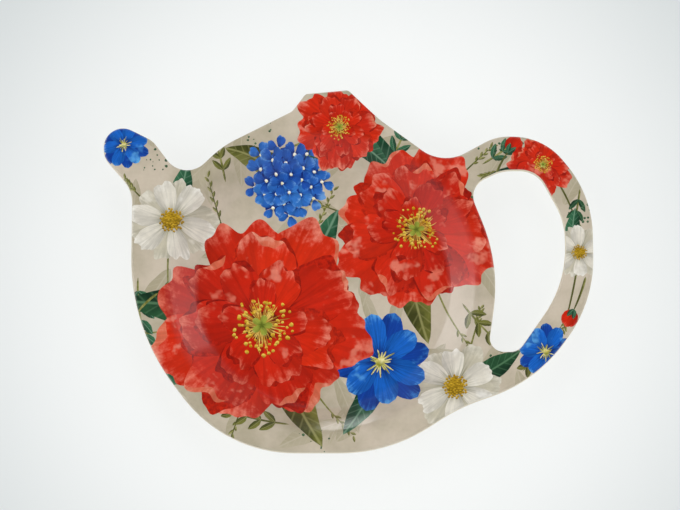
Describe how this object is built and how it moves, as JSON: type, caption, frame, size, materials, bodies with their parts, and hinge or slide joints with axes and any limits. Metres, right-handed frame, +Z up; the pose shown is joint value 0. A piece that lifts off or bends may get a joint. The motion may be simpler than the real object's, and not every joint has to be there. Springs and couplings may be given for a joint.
{
  "type": "tea bag rest",
  "caption": "Shallow teapot-shaped dish with spout, lid knob, open handle loop and a sloped oval well that holds a used tea bag; it lies flat on a low foot ring.",
  "frame": {"origin": "under the middle of the outline's box, on the plane that the foot ring stands on", "axes": "+Z up out of the well, +X from the spout to the handle, +Y from the base of the teapot shape to its lid"},
  "size_m": [0.12, 0.0899, 0.01],
  "materials": {
    "melamine": "cream melamine, satin gloss",
    "floral_print": "printed flowers on a beige ground",
    "clear_overlay": "clear gloss over the print"
  },
  "bodies": {
    "root": {"moulded_dish": "melamine", "printed_foil": "floral_print", "clear_glaze": "clear_overlay"}
  },
  "joints": []
}
